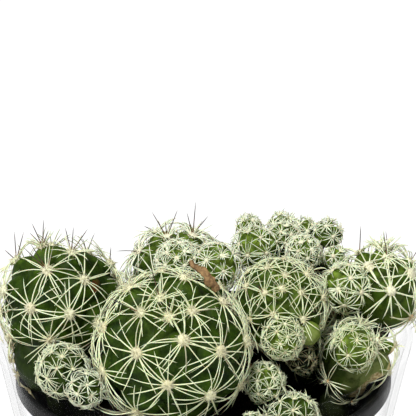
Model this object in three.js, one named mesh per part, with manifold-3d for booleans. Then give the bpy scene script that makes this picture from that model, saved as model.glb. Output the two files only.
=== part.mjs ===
// Potted thimble cactus: a clump of spiny round heads in a black plant pot,
// which stands inside a clear tapered outer pot.
// Millimetres, +Z up. The origin is the middle of the clear pot's underside,
// and the side with the largest head faces -Y.
import * as THREE from "three";
import { ConvexHull } from "three/addons/math/ConvexHull.js";
import { mergeVertices } from "three/addons/utils/BufferGeometryUtils.js";
import Module from "manifold-3d";

const wasm = await Module();
wasm.setup();

// The clear outer pot
const OUTER_HEIGHT = 70;
const OUTER_RIM_RADIUS = 41.6;
const OUTER_TAPER = 0.21;
const OUTER_WALL = 1.3;
const OUTER_FLOOR = 4;
const OUTER_FOOT_ROUND = 2.5;

// The black plant pot, whose rim is a rolled lip wider than its wall
const POT_FLOOR_GAP = 0.3;
const POT_RIM_Z = 62.3;
const POT_LIP_RADIUS = 37.5;
const POT_LIP_HEIGHT = 3.4;
const POT_LIP_OVERHANG = 2.6;
const POT_TAPER = 0.21;
const POT_WALL = 1.2;
const POT_FLOOR = 1.5;
const DRAIN_RADIUS = 5;
const POT_EDGE = 1;
const LIP_EDGE = 0.4;
const POT_SIDES = 36;

// The soil
const SOIL_Z = 54;
const SOIL_EDGE_DROP = 2.5;
const SOIL_LEVEL_SHARE = 0.8;
const SOIL_LEVEL_DROP = 0.5;
const TOUCH_GAP = 0.3;
const STEM_DEPTH = 5;
const STEM_HOLE_SIDES = 6;
const HOLE_GAP = 0.4;
const HOLE_REACH = 20;

// The direction that a person looking at the front sees the plant from, 25 degrees down
const FRONT = new THREE.Vector3(0, -0.906, 0.423);
const UP = new THREE.Vector3(0, 0, 1);

// Spines: their rise above the skin and their swing past the furrow that they point along
const SPINE_RISES = [18, 30, 44];
const SPINE_SWINGS = [12, 22, 4];
const SPINE_LENGTHS = [1, 0.8, 0.62];
const SPINE_THICKNESS = 0.35;
const SPINE_ROOT_GROWN = 0.85;
const SPINE_ROOT_YOUNG = 0.6;
const SPINE_FREE_FROM = 0.2;
const SPINE_TEST_SHARES = [0.35, 0.55, 0.75, 0.9, 1];
const SPINE_GAP = 0.6;
const SPINE_REACH = 0.78;
const LONGEST_SPINE = 7.2;
const GROWN_RADIUS = 6;
const BARE_BELOW_GROWN = -0.5;
const BARE_BELOW_YOUNG = 0;
const BURIED_TIP = 0.2;

// Each head is a half ellipsoid above its middle and another below it. "at" is the middle,
// "radius" reaches the areoles' tips, and "top" and "bottom" are half heights over the radius.
// "lean" is the growing direction. The areoles follow a spiral from the crown: areole k lies where
// 1 - cos(angle from the crown) is step * (k + first) ** spread, a "turn" on from the one before.
const HEADS = [
  {
    node: "head_front", at: [-6, -21, 75.3], radius: 14.8, lean: [-0.03, -0.44, 0.9],
    step: 0.0363, first: 0.05, spread: 1.13, turn: -137.6, phase: 297, stem: 5, foot: [-6, -19],
  },
  {
    node: "head_left", at: [-28, -3, 76.9], radius: 12.2, bottom: 1.18, lean: [-0.13, 0.34, 0.93],
    step: 0.0597, first: 0.69, spread: 1, turn: -137.5, phase: 54, stem: 4.2, foot: [-25.8, -5.6],
  },
  {
    node: "head_back", at: [-5.4, 12, 76], radius: 10, bottom: 1.15, lean: [-0.05, -0.1, 1],
    step: 0.05, first: 0.4, spread: 1.1, turn: 137.5, phase: 40, stem: 4, foot: [-5, 11],
  },
  {
    node: "head_middle_right", at: [15, -7, 78], radius: 9.1, bottom: 1.35, lean: [-0.02, -0.63, 0.78],
    step: 0.0245, first: 0.35, spread: 1.3, turn: 137.1, phase: 108, stem: 3.4, foot: [13, -3],
  },
  {
    node: "head_right", at: [35.4, 4, 76.8], radius: 8.4, bottom: 1.12, lean: [0.12, 0.3, 0.95],
    step: 0.0377, first: 0.65, spread: 1.35, turn: -138.5, phase: 45, stem: 3, foot: [24.5, 5.5],
  },
  {
    node: "head_low_right", at: [30.6, -8.4, 69.6], radius: 6.5, top: 0.72, bottom: 1.77,
    lean: [0.47, 0.22, 1], step: 0.09, first: 0.4, spread: 1.1, turn: 137.5, phase: 10,
    stem: 2.8, foot: [23.5, -10.5],
  },
  {
    node: "head_shadow", at: [20.4, 3.6, 61.2], radius: 4.7, bottom: 1.1, lean: [0, -0.3, 0.95],
    step: 0.08, first: 0.4, spread: 1.1, turn: -137.5, phase: 80, stem: 2.2, foot: [19.5, 2.2],
  },
  {
    node: "head_back_right", at: [17.5, 15, 73], radius: 8.8, bottom: 1.4, lean: [0.1, 0.1, 1],
    step: 0.055, first: 0.4, spread: 1.1, turn: 137.5, phase: 0, stem: 3.4, foot: [16, 13],
  },
  {
    node: "head_rear_left", at: [-20.5, 18, 66], radius: 8.1, lean: [-0.25, 0.3, 0.92],
    step: 0.06, first: 0.4, spread: 1.1, turn: -137.5, phase: 200, stem: 3, foot: [-19, 16],
  },
  {
    node: "head_rear_middle", at: [-4, 29.8, 68.5], radius: 8.3, lean: [0, 0.4, 0.92],
    step: 0.06, first: 0.4, spread: 1.1, turn: 137.5, phase: 150, stem: 3, foot: [-3.5, 26.5],
  },
  {
    node: "head_rear_right", at: [12.5, 27, 63.5], radius: 6, bottom: 1.1, lean: [0.2, 0.4, 0.9],
    step: 0.075, first: 0.4, spread: 1.1, turn: -137.5, phase: 60, stem: 2.4, foot: [11.5, 24.5],
  },
  {
    node: "head_inner_left", at: [-14.5, 3.5, 64], radius: 6.5, lean: [-0.1, 0, 1],
    stem: 2.5, foot: [-14.5, 3.5],
  },
  {
    node: "offset_left", at: [-26.9, -21.2, 70.6], radius: 5.2, lean: [-0.2, -0.5, 0.85],
    stem: 1.7, foot: [-20, -16],
  },
  {
    node: "offset_front_middle", at: [11.6, -19.4, 67.2], radius: 4, lean: [0.1, -0.45, 0.9],
    stem: 1.6, foot: [11, -17.5],
  },
  {
    node: "offset_front_right", at: [17, -22.2, 60.2], radius: 5.6, lean: [0.15, -0.35, 0.93],
    stem: 2, foot: [16.5, -21.5],
  },
  {
    node: "offset_front_low", at: [9.4, -28.6, 62.4], radius: 2.6, lean: [0, -0.4, 0.9],
    stem: 1.1, foot: [9, -27],
  },
  {
    node: "offset_inner_middle", at: [3.4, -3, 64.6], radius: 4.6, lean: [0.1, -0.1, 1],
    stem: 1.8, foot: [3.4, -3],
  },
  {
    node: "offset_inner_rear", at: [5.5, 18.6, 62.3], radius: 4.5, lean: [0, 0.1, 1],
    stem: 1.8, foot: [5.5, 18.6],
  },
  {
    node: "offset_far_left", at: [-29, 10, 62.8], radius: 4.2, lean: [-0.5, 0.2, 0.85],
    stem: 1.6, foot: [-27.5, 9.5],
  },
  {
    node: "offset_far_right", at: [27.4, 13, 62.8], radius: 4.3, lean: [0.45, 0.2, 0.87],
    stem: 1.6, foot: [26, 12.5],
  },
  {
    node: "offset_rear_left", at: [-14.6, 26.8, 61.5], radius: 3.4, lean: [-0.3, 0.5, 0.8],
    stem: 1.4, foot: [-13.8, 25],
  },
  {
    node: "offset_rear_right", at: [22.4, 20.9, 61.5], radius: 3.8, lean: [0.4, 0.4, 0.85],
    stem: 1.5, foot: [21, 19.5],
  },
];

// Offsets that grow on an older head and are one piece with it. Most are young and hang on by
// a neck. The one with a foot in the soil is the old bare lower part of its head, and the last
// is a bare lobe.
const OFFSETS = [
  { on: "head_back", at: [2.4, -2.3, 84.2], radius: 4.8 },
  { on: "head_back", at: [-5.1, -1.6, 85], radius: 4.4 },
  { on: "head_middle_right", at: [15.2, -18, 76], radius: 4 },
  { on: "head_middle_right", at: [18.9, -13.6, 69.8], radius: 2.7 },
  { on: "head_right", at: [28.2, -1.6, 79.4], radius: 4.8 },
  { on: "head_right", at: [28.8, 3, 70.4], radius: 4.6 },
  { on: "head_low_right", at: [29.1, -15.8, 73.2], radius: 4.3 },
  { on: "offset_left", at: [-22.6, -27, 69.7], radius: 3.5 },
  { on: "head_back_right", at: [10.4, 8, 83.6], radius: 4.6 },
  { on: "head_back_right", at: [9.4, 19.6, 83.4], radius: 2.6 },
  { on: "head_back_right", at: [25, 18, 82.6], radius: 3 },
  { on: "head_back_right", at: [20.6, 20.6, 82.6], radius: 2.3 },
  { on: "head_back_right", at: [16.2, 12.4, 83.8], radius: 3.6 },
  { on: "head_back_right", at: [19.9, 5.6, 84], radius: 3.5 },
  { on: "head_back_right", at: [16.2, 22.6, 82.4], radius: 2.9 },
  { on: "head_back_right", at: [26.4, 9.6, 80.8], radius: 2.6 },
  {
    on: "head_left", at: [-31.5, -10.2, 68.7], radius: 5.8, bottom: 1.56, lean: [-0.41, 0.39, 1],
    step: 0.14, stem: 2.6, foot: [-22.5, -10], bareBelow: 1,
  },
  { on: "head_middle_right", at: [20.3, -14, 75.4], radius: 2.5, step: 0.17, bareBelow: 1 },
];
const OFFSET_SPIRAL = { step: 0.075, first: 0.4, spread: 1.1, turn: 137.5, reach: 1.6 };
const SMALL_RADIUS = 3.2;
const SMALL_STEP = 0.1;
const PHASE_STEP = 73;
const NECK_RADIUS = 0.34;
const NECK_SINK = 1.6;
const OFFSET_UPTURN = 0.25;

// The skin: furrow depth over areole spacing, and the share of a sphere that one areole's circle fills
const FURROW_DEPTH = 0.17;
const CIRCLE_SHARE = 0.9;
const SPIRAL_REACH = 1.72;

// A stem starts inside its head, at this share of the way down, and is thickest a little below
const STEM_START = 0.86;
const STEM_FLARE = 1.15;
const STEM_RINGS = [[0.3, STEM_FLARE], [1, 1]];

// The dried flower that hangs on at the front head's shoulder
const FLOWER_PATH = [[2.5, -23.4, 88.4], [1.4, -23.5, 90.5], [-0.6, -22.6, 92.4], [-2.7, -21.4, 93.5]];
const FLOWER_WIDTHS = [0.45, 0.75, 0.7, 0.3];
const FLOWER_THICKNESS = 0.75;
const FLOWER_CLEARANCE = 0.9;

const COLOURS = {
  clear_pot: { color: 0xe9eeee, roughness: 0.06, metalness: 0, transparent: true, opacity: 0.35 },
  plant_pot: { color: 0x1b1c1e, roughness: 0.45, metalness: 0 },
  soil: { color: 0x2b2119, roughness: 1, metalness: 0 },
  dried_flower: { color: 0x7a4a2c, roughness: 0.8, metalness: 0 },
  head: { color: 0x44662c, roughness: 0.6, metalness: 0 },
};

const degrees = THREE.MathUtils.degToRad;
const SAME_POINT = 1e-4;
const PARALLEL = 1e-9;

// A surface under construction: points and outward triangles
class Surface {
  points = [];
  faces = [];

  point(p) {
    this.points.push(p);
    return this.points.length - 1;
  }

  face(a, b, c) {
    this.faces.push(a, b, c);
  }

  solid() {
    return new wasm.Manifold(new wasm.Mesh({
      numProp: 3,
      vertProperties: new Float32Array(this.points.flatMap((p) => p.toArray())),
      triVerts: new Uint32Array(this.faces),
    }));
  }
}

// A closed three.js geometry as a solid that can be joined and cut
function solidOf(geometry) {
  const bare = geometry.clone();
  ["normal", "uv"].forEach((name) => bare.deleteAttribute(name));
  const merged = mergeVertices(bare, SAME_POINT);
  const corners = merged.index.array;
  const kept = [];
  for (let i = 0; i < corners.length; i += 3) {
    const [a, b, c] = corners.slice(i, i + 3);
    if (a !== b && b !== c && c !== a) kept.push(a, b, c);
  }
  return new wasm.Manifold(new wasm.Mesh({
    numProp: 3,
    vertProperties: merged.attributes.position.array,
    triVerts: new Uint32Array(kept),
  }));
}

function geometryOf(solid) {
  const mesh = solid.getMesh();
  const geometry = new THREE.BufferGeometry();
  geometry.setAttribute("position", new THREE.BufferAttribute(mesh.vertProperties, 3));
  geometry.setIndex(new THREE.BufferAttribute(mesh.triVerts, 1));
  geometry.computeVertexNormals();
  return geometry;
}

// A turned body from a profile of [radius, height] points, listed so that the outside faces out
function turned(profile) {
  const points = profile.map(([r, z]) => new THREE.Vector2(r, z));
  return new THREE.LatheGeometry(points, POT_SIDES).rotateX(Math.PI / 2);
}

// Points along an arc in a turned profile, angles in degrees from straight out
function arc(r, z, radius, from, to, steps) {
  return Array.from({ length: steps + 1 }, (_, i) => {
    const angle = degrees(from + ((to - from) * i) / steps);
    return [r + radius * Math.cos(angle), z + radius * Math.sin(angle)];
  });
}

const outerRadius = (z) => OUTER_RIM_RADIUS - OUTER_TAPER * (OUTER_HEIGHT - z);
const innerRadius = (z) => outerRadius(z) - OUTER_WALL;
const potRadius = (z) => POT_LIP_RADIUS - POT_LIP_OVERHANG - POT_TAPER * (POT_RIM_Z - POT_LIP_HEIGHT - z);

function clearPotGeometry() {
  const lip = OUTER_WALL / 2;
  const foot = OUTER_FOOT_ROUND;
  return turned([
    [0, 0],
    ...arc(outerRadius(foot) - foot, foot, foot, -90, 0, 3),
    ...arc(OUTER_RIM_RADIUS - lip, OUTER_HEIGHT - lip, lip, 0, 180, 4),
    [innerRadius(OUTER_FLOOR + foot), OUTER_FLOOR + foot],
    [innerRadius(OUTER_FLOOR) - foot, OUTER_FLOOR],
    [0, OUTER_FLOOR],
  ]);
}

function plantPotGeometry() {
  const base = OUTER_FLOOR + POT_FLOOR_GAP;
  const underLip = POT_RIM_Z - POT_LIP_HEIGHT;
  const lip = POT_WALL / 2;
  const lipInner = POT_LIP_RADIUS - POT_WALL;
  return turned([
    [DRAIN_RADIUS, base],
    [potRadius(base) - POT_EDGE, base],
    [potRadius(base), base + POT_EDGE],
    [potRadius(underLip), underLip],
    [POT_LIP_RADIUS - LIP_EDGE, underLip],
    [POT_LIP_RADIUS, underLip + LIP_EDGE],
    ...arc(POT_LIP_RADIUS - lip, POT_RIM_Z - lip, lip, 0, 180, 4),
    [lipInner, underLip + POT_WALL],
    [potRadius(underLip) - POT_WALL, underLip],
    [potRadius(base + POT_FLOOR) - POT_WALL, base + POT_FLOOR],
    [DRAIN_RADIUS, base + POT_FLOOR],
    [DRAIN_RADIUS, base],
  ]);
}

// The half-ellipsoid body of one head, its own directions and its spiral of areoles
class Head {
  constructor(place) {
    Object.assign(this, { top: 1, bottom: 1, reach: SPIRAL_REACH }, place);
    this.middle = new THREE.Vector3(...place.at);
    this.axis = new THREE.Vector3(...place.lean).normalize();
    this.side = new THREE.Vector3().crossVectors(FRONT, this.axis).normalize();
    this.far = new THREE.Vector3().crossVectors(this.axis, this.side);
    this.directions = [];
    for (let k = 0; this.step * (k + this.first) ** this.spread < this.reach; k++) {
      const cosine = 1 - this.step * (k + this.first) ** this.spread;
      const round = degrees(this.phase + this.turn * k);
      const sine = Math.sqrt(1 - cosine * cosine);
      this.directions.push(new THREE.Vector3(sine * Math.cos(round), sine * Math.sin(round), cosine));
    }
    this.spacing = this.radius * Math.sqrt((4 * Math.PI * CIRCLE_SHARE) / this.directions.length);
    this.furrow = FURROW_DEPTH * this.spacing;
  }

  // The skin point in a direction of the head's own frame, "depth" under the tips
  skin(direction, depth) {
    const half = this.radius * (direction.z > 0 ? this.top : this.bottom) - depth;
    return this.middle.clone()
      .addScaledVector(this.side, direction.x * (this.radius - depth))
      .addScaledVector(this.far, direction.y * (this.radius - depth))
      .addScaledVector(this.axis, direction.z * half);
  }

  // Straight out of the skin there
  outward(direction) {
    const half = direction.z > 0 ? this.top : this.bottom;
    return new THREE.Vector3()
      .addScaledVector(this.side, direction.x)
      .addScaledVector(this.far, direction.y)
      .addScaledVector(this.axis, direction.z / half)
      .normalize();
  }

  // How far a point is from the skin, roughly, and negative inside it
  clearance(point) {
    const offset = point.clone().sub(this.middle);
    const along = offset.dot(this.axis);
    const across = Math.sqrt(Math.max(0, offset.lengthSq() - along * along));
    const half = this.radius * (along > 0 ? this.top : this.bottom);
    return (Math.hypot(across / this.radius, along / half) - 1) * this.radius;
  }

  // The skin point that lies in a direction of the part's own frame
  skinTowards(way) {
    const along = way.dot(this.axis);
    const half = along > 0 ? this.top : this.bottom;
    const across = Math.sqrt(1 - along * along);
    return this.middle.clone().addScaledVector(way, this.radius / Math.hypot(across, along / half));
  }

  // Where the stem or neck starts inside the head
  get stemTop() {
    return this.middle.clone().addScaledVector(this.axis, -this.radius * this.bottom * STEM_START);
  }
}

// The distance between two straight stretches
function gapBetween(p1, q1, p2, q2) {
  const d1 = q1.clone().sub(p1);
  const d2 = q2.clone().sub(p2);
  const r = p1.clone().sub(p2);
  const a = d1.dot(d1);
  const e = d2.dot(d2);
  const b = d1.dot(d2);
  const c = d1.dot(r);
  const f = d2.dot(r);
  const slant = a * e - b * b;
  let s = slant > PARALLEL ? THREE.MathUtils.clamp((b * f - c * e) / slant, 0, 1) : 0;
  const t = THREE.MathUtils.clamp((b * s + f) / e, 0, 1);
  s = THREE.MathUtils.clamp((b * t - c) / a, 0, 1);
  return p1.clone().addScaledVector(d1, s).distanceTo(p2.clone().addScaledVector(d2, t));
}

// Every spine drawn so far, and what a new one must keep clear of
const spines = [];
const rods = [];

function isClear(head, areole, root, tip) {
  for (const share of SPINE_TEST_SHARES) {
    const p = root.clone().lerp(tip, share);
    const across = Math.hypot(p.x, p.y);
    const fromWall = Math.abs(across - outerRadius(p.z) + OUTER_WALL / 2) - OUTER_WALL / 2;
    const underLip = POT_RIM_Z - POT_LIP_HEIGHT + POT_WALL;
    if (p.z < SOIL_Z + SPINE_GAP) return false;
    if (p.z < OUTER_HEIGHT + SPINE_GAP && fromWall < SPINE_GAP) return false;
    if (p.z < POT_RIM_Z + SPINE_GAP && across > POT_LIP_RADIUS - POT_WALL - SPINE_GAP) return false;
    if (p.z < underLip + SPINE_GAP && across > potRadius(p.z) - POT_WALL - SPINE_GAP) return false;
    if (heads.some((other) => other !== head && other.clearance(p) < SPINE_GAP)) return false;
  }
  const start = root.clone().lerp(tip, SPINE_FREE_FROM);
  const others = rods.filter((rod) => rod.head !== head);
  if (others.some((rod) => gapBetween(start, tip, rod.from, rod.to) < rod.radius + SPINE_GAP)) return false;
  const near = root.distanceTo(tip) + LONGEST_SPINE;
  return !spines.some((other) => {
    if (other.areole === areole || other.root.distanceTo(root) > near) return false;
    return gapBetween(start, tip, other.start, other.tip) < 2 * SPINE_THICKNESS;
  });
}

// One spine's tip, or null where no length, rise or swing of it is clear
function spineTip(head, areole, root, outward, towards) {
  const along = towards.clone().sub(root);
  along.addScaledVector(outward, -along.dot(outward)).normalize();
  for (const length of SPINE_LENGTHS) {
    for (const rise of SPINE_RISES) {
      for (const swing of SPINE_SWINGS) {
        const way = along.clone().applyAxisAngle(outward, degrees(swing));
        way.multiplyScalar(Math.cos(degrees(rise))).addScaledVector(outward, Math.sin(degrees(rise)));
        const tip = root.clone().addScaledVector(way, length * head.spineLength);
        if (isClear(head, areole, root, tip)) {
          spines.push({ areole, root, tip, start: root.clone().lerp(tip, SPINE_FREE_FROM) });
          return tip;
        }
      }
    }
  }
  return null;
}

// A head's body: a low cone for each areole, a spine over each ridge down from its tip, and a stem.
// The cones meet along furrows, whose corners lie between three neighbouring areoles.
function headSolid(head) {
  const surface = new Surface();
  const pole = new THREE.Vector3(0, 0, -1);
  const sites = [...head.directions, pole];
  const hull = new ConvexHull().setFromPoints(sites);
  const cornerAfter = new Map();
  for (const face of hull.faces) {
    const trio = [0, 1, 2].map((i) => sites.indexOf(face.getEdge(i).head().point));
    const middle = trio.reduce((sum, i) => sum.add(sites[i]), new THREE.Vector3()).normalize();
    const corner = surface.point(head.skin(middle, head.furrow));
    trio.forEach((from, i) => {
      cornerAfter.set(`${from} ${trio[(i + 1) % 3]}`, { corner, next: trio[(i + 2) % 3] });
    });
  }
  sites.forEach((site, i) => {
    const first = [...cornerAfter.keys()].find((key) => key.startsWith(`${i} `));
    const ring = [];
    let key = first;
    do {
      const { corner, next } = cornerAfter.get(key);
      ring.push(corner);
      key = `${i} ${next}`;
    } while (key !== first);
    if (site === pole) addStem(surface, head, ring);
    else addAreole(surface, head, i, ring);
  });
  return surface.solid();
}

function addAreole(surface, head, index, ring) {
  const site = head.directions[index];
  const tip = head.skin(site, 0);
  const outward = head.outward(site);
  const top = surface.point(tip);
  const size = ring.length;
  const corner = (s) => surface.points[ring[(s + size) % size]];
  const buried = heads.some((other) => other !== head && other.clearance(tip) < BURIED_TIP);
  if (site.z < head.bareBelow || buried) {
    ring.forEach((from, s) => surface.face(top, from, ring[(s + 1) % size]));
    return;
  }
  const collar = ring.map((_, s) => {
    const middle = corner(s).clone().add(corner(s + 1)).multiplyScalar(0.5);
    return surface.point(tip.clone().lerp(middle, head.spineRoot / tip.distanceTo(middle)));
  });
  ring.forEach((from, s) => {
    const before = collar[(s + size - 1) % size];
    const after = collar[s];
    const reach = spineTip(head, `${head.id} ${index}`, tip, outward, corner(s));
    if (reach) {
      const end = surface.point(reach);
      surface.face(top, before, end);
      surface.face(before, after, end);
      surface.face(after, top, end);
    } else {
      surface.face(top, before, after);
    }
    surface.face(before, from, after);
    surface.face(after, from, ring[(s + 1) % size]);
  });
}

function addStem(surface, head, ring) {
  const start = head.stemTop;
  const way = head.foot.clone().sub(start).normalize();
  let upper = ring;
  for (const [share, flare] of STEM_RINGS) {
    const middle = start.clone().lerp(head.foot, share);
    const lower = ring.map((i) => {
      const out = surface.points[i].clone().sub(start);
      out.addScaledVector(way, -out.dot(way)).setLength(head.stem * flare);
      return surface.point(out.add(middle));
    });
    ring.forEach((_, s) => {
      const t = (s + 1) % ring.length;
      surface.face(lower[s], upper[s], upper[t]);
      surface.face(lower[s], upper[t], lower[t]);
    });
    upper = lower;
  }
  const end = surface.point(head.foot.clone());
  ring.forEach((_, s) => surface.face(end, upper[s], upper[(s + 1) % ring.length]));
}

// The soil: a tapered plug that is a little lower at its edge, with a plain hole for each stem
function soilGeometry(stems) {
  const floor = OUTER_FLOOR + POT_FLOOR_GAP + POT_FLOOR + TOUCH_GAP;
  const reach = (z) => potRadius(z) - POT_WALL - TOUCH_GAP;
  let soil = solidOf(turned([
    [0, floor],
    [reach(floor) - TOUCH_GAP, floor],
    [reach(SOIL_Z - SOIL_EDGE_DROP), SOIL_Z - SOIL_EDGE_DROP],
    [reach(SOIL_Z) * SOIL_LEVEL_SHARE, SOIL_Z - SOIL_LEVEL_DROP],
    [0, SOIL_Z],
  ]));
  for (const head of stems) {
    const way = head.stemTop.sub(head.foot).normalize();
    const radius = (head.stem * STEM_FLARE + HOLE_GAP) / Math.cos(Math.PI / STEM_HOLE_SIDES);
    const hole = new THREE.CylinderGeometry(radius, radius, HOLE_REACH, STEM_HOLE_SIDES);
    hole.translate(0, HOLE_REACH / 2 - HOLE_GAP, 0);
    hole.applyQuaternion(new THREE.Quaternion().setFromUnitVectors(new THREE.Vector3(0, 1, 0), way));
    hole.translate(...head.foot.toArray());
    soil = soil.subtract(solidOf(hole));
  }
  return geometryOf(soil);
}

// A shrivelled petal tube: a bent, tapering blade
function flowerGeometry() {
  const surface = new Surface();
  const path = FLOWER_PATH.map((p) => new THREE.Vector3(...p));
  const rings = path.map((p, i) => {
    const way = path[Math.min(i + 1, path.length - 1)].clone().sub(path[Math.max(i - 1, 0)]).normalize();
    const across = new THREE.Vector3().crossVectors(way, FRONT).normalize().multiplyScalar(FLOWER_WIDTHS[i]);
    const thick = new THREE.Vector3().crossVectors(across, way).setLength(FLOWER_THICKNESS / 2);
    return [[1, 0], [0, 1], [-1, 0], [0, -1]].map(([a, t]) => (
      surface.point(p.clone().addScaledVector(across, a).addScaledVector(thick, t))
    ));
  });
  rings.slice(1).forEach((upper, i) => {
    const lower = rings[i];
    lower.forEach((_, s) => {
      const t = (s + 1) % 4;
      surface.face(lower[s], upper[t], lower[t]);
      surface.face(lower[s], upper[s], upper[t]);
    });
  });
  const [first, last] = [rings[0], rings[rings.length - 1]];
  surface.face(first[0], first[1], first[2]);
  surface.face(first[0], first[2], first[3]);
  surface.face(last[0], last[2], last[1]);
  surface.face(last[0], last[3], last[2]);
  return geometryOf(surface.solid());
}

function spiralFor(place, i) {
  const step = place.radius < SMALL_RADIUS ? SMALL_STEP : OFFSET_SPIRAL.step;
  return { ...OFFSET_SPIRAL, step, phase: PHASE_STEP * i };
}

// Every head is set out before any is drawn, because each spine keeps clear of all of them
const parents = HEADS.map((place, i) => {
  const head = new Head(place.step ? place : { ...spiralFor(place, i), ...place });
  head.foot = new THREE.Vector3(...place.foot, SOIL_Z - STEM_DEPTH);
  return head;
});

// An offset leans away from the head that it grows on, and its neck ends inside that head
const offsets = OFFSETS.map((place, i) => {
  const parent = parents.find((head) => head.node === place.on);
  const away = new THREE.Vector3(...place.at).sub(parent.middle).normalize();
  const lean = away.clone().addScaledVector(UP, OFFSET_UPTURN).toArray();
  const stem = NECK_RADIUS * place.radius;
  const head = new Head({ ...spiralFor(place, i), lean, stem, ...place });
  head.foot = place.foot
    ? new THREE.Vector3(...place.foot, SOIL_Z - STEM_DEPTH)
    : parent.skinTowards(away).addScaledVector(away, -NECK_SINK);
  return head;
});

const heads = [...parents, ...offsets];
heads.forEach((head, i) => {
  const grown = head.radius > GROWN_RADIUS;
  head.id = i;
  head.spineLength = Math.min(SPINE_REACH * head.spacing, LONGEST_SPINE);
  head.spineRoot = grown ? SPINE_ROOT_GROWN : SPINE_ROOT_YOUNG;
  head.bareBelow ??= grown ? BARE_BELOW_GROWN : BARE_BELOW_YOUNG;
  rods.push({ head, from: head.stemTop, to: head.foot, radius: head.stem * STEM_FLARE });
});
FLOWER_PATH.slice(1).forEach((to, i) => {
  const from = new THREE.Vector3(...FLOWER_PATH[i]);
  rods.push({ head: null, radius: FLOWER_CLEARANCE, from, to: new THREE.Vector3(...to) });
});

const cactus = new THREE.Group();

function add(name, geometry, look) {
  const mesh = new THREE.Mesh(geometry, new THREE.MeshStandardMaterial(COLOURS[look]));
  mesh.name = name;
  cactus.add(mesh);
}

add("clear_pot", clearPotGeometry(), "clear_pot");
add("plant_pot", plantPotGeometry(), "plant_pot");
add("soil", soilGeometry(heads.filter((head) => head.foot.z < SOIL_Z)), "soil");
for (const parent of parents) {
  const grown = offsets.filter((head) => head.on === parent.node);
  const whole = grown.reduce((body, head) => body.add(headSolid(head)), headSolid(parent));
  const [largest] = whole.decompose().sort((a, b) => b.volume() - a.volume());
  add(parent.node, geometryOf(largest), "head");
}
add("dried_flower", flowerGeometry(), "dried_flower");

export default cactus;
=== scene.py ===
# %% [markdown]
# # A potted thimble cactus
# The plant is a clump of round heads. Every head is covered with low cones called tubercles, each
# cone ends in a woolly pad called an areole, and a star of spines grows out of each pad.
# The clump stands in a black plant pot, and that pot stands in a clear outer pot.
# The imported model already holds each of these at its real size, as plain solids. This script
# loads them, and grows the fine skin, wool and spines on the same spots.

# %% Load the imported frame
import math

import bmesh
import bpy
import numpy as np
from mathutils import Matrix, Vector


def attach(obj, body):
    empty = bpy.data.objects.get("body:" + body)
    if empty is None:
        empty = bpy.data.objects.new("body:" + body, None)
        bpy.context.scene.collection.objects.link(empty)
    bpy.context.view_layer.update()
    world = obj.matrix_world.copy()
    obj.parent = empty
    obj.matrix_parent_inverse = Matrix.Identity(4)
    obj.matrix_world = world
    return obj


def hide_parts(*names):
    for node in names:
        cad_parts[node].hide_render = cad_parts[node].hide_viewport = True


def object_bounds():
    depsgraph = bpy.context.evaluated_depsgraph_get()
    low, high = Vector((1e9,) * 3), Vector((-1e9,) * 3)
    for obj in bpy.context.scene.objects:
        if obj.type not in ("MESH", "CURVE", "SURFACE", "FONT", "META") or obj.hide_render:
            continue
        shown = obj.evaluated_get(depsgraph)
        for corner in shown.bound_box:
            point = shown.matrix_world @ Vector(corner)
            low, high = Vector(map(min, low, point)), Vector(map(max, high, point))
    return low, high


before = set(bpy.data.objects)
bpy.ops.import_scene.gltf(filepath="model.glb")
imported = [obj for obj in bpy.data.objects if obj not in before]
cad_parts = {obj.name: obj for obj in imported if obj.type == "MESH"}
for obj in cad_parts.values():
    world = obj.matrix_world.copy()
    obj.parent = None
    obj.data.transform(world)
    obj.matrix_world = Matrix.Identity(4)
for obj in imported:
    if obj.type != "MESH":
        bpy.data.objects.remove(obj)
cad_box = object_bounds()
print("CAD box in metres:", [[round(c, 4) for c in corner] for corner in cad_box])

# %% [markdown]
# ## The camera
# The photograph looks down at the plant by 25 degrees, from about 60 cm away, and it is cropped
# close. A long lens from that distance gives the same near and far proportions. A wide lens close
# up would swell the front head. The camera is turned up by three degrees instead of shifted,
# because the plant fills only the lower half of the picture.

# %% Place the camera
MM = 0.001
VIEW_DISTANCE = 600
VIEW_ELEVATION = math.radians(25)
VIEW_HEIGHT = 62
AIM_UP = math.radians(3)
AIM_RIGHT = math.radians(0.095)
LENS = 259.6

camera = bpy.data.objects.new("camera", bpy.data.cameras.new("camera"))
bpy.context.scene.collection.objects.link(camera)
camera.location = Vector((
    0,
    -VIEW_DISTANCE * math.cos(VIEW_ELEVATION),
    VIEW_HEIGHT + VIEW_DISTANCE * math.sin(VIEW_ELEVATION),
)) * MM
camera.rotation_euler = (math.pi / 2 - VIEW_ELEVATION + AIM_UP, 0, -AIM_RIGHT)
camera.data.lens = LENS
camera.data.sensor_width = 36
camera.data.clip_start = 0.05
bpy.context.scene.camera = camera
print("camera at", [round(c, 3) for c in camera.location])
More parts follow.
